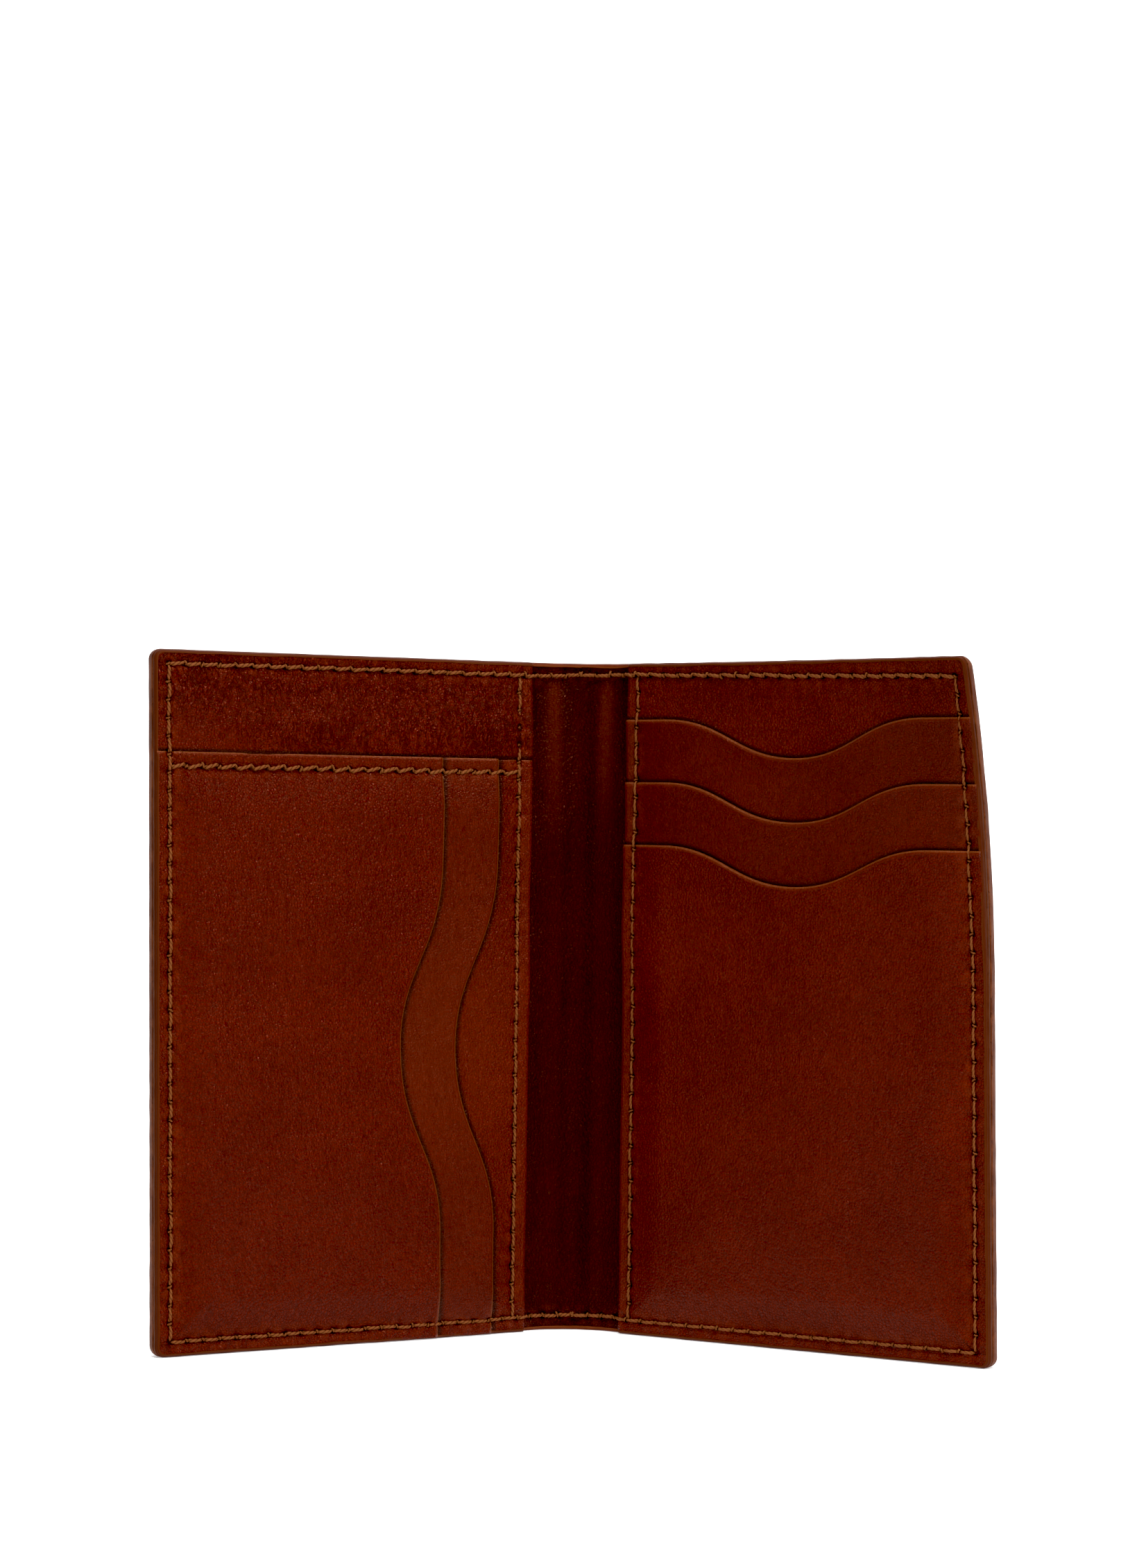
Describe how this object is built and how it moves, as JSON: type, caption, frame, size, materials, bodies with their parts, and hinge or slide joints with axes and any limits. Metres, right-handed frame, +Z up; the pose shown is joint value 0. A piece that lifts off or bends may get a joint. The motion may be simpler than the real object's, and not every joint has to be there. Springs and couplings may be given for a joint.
{
  "type": "bifold card wallet",
  "caption": "Upright leather bifold card wallet standing open on its lower edges, with card slots on both inner faces and a pocket behind them.",
  "frame": {"origin": "middle of the footprint, on the surface that the wallet stands on", "axes": "+X from the left half to the right half, +Y from the open side towards the spine, +Z up along the spine"},
  "size_m": [0.131, 0.0394, 0.109],
  "materials": {
    "cover_leather": "fine pebbled grain, satin",
    "lining_leather": "smooth, dull",
    "panel_leather": "fine pebbled grain, satin",
    "slot_leather": "smooth, matte",
    "thread": "twisted waxed thread",
    "edge_paint": "matte edge paint"
  },
  "bodies": {
    "spine": {"cover_spine": "cover_leather", "lining_spine": "lining_leather", "edge_coat_spine_foot": "edge_paint", "edge_coat_spine_top": "edge_paint", "needle_thread_spine_foot": "thread", "needle_thread_spine_top": "thread", "bobbin_thread_spine_foot": "thread", "bobbin_thread_spine_top": "thread"},
    "left_half": {"cover_left": "cover_leather", "lining_left": "lining_leather", "left_back_panel": "panel_leather", "left_slot_rear": "panel_leather", "left_slot_middle": "slot_leather", "left_slot_front": "panel_leather", "edge_coat_left": "edge_paint", "needle_thread_left": "thread", "bobbin_thread_left": "thread", "upright_thread_left": "thread", "pocket_top_thread": "thread"},
    "right_half": {"cover_right": "cover_leather", "lining_right": "lining_leather", "right_back_panel": "panel_leather", "right_slot_top": "slot_leather", "right_slot_middle": "slot_leather", "right_slot_front": "panel_leather", "edge_coat_right": "edge_paint", "needle_thread_right": "thread", "bobbin_thread_right": "thread", "upright_thread_right": "thread"}
  },
  "joints": [
    {"name": "left_fold", "type": "hinge", "parent": "spine", "child": "left_half", "pos_m": [-0.00755, 0.017, 0.0545], "axis": [0, 0, 1], "range_deg": [-30, 58]},
    {"name": "right_fold", "type": "hinge", "parent": "spine", "child": "right_half", "pos_m": [0.00755, 0.017, 0.0545], "axis": [0, 0, -1], "range_deg": [-30, 58]}
  ]
}
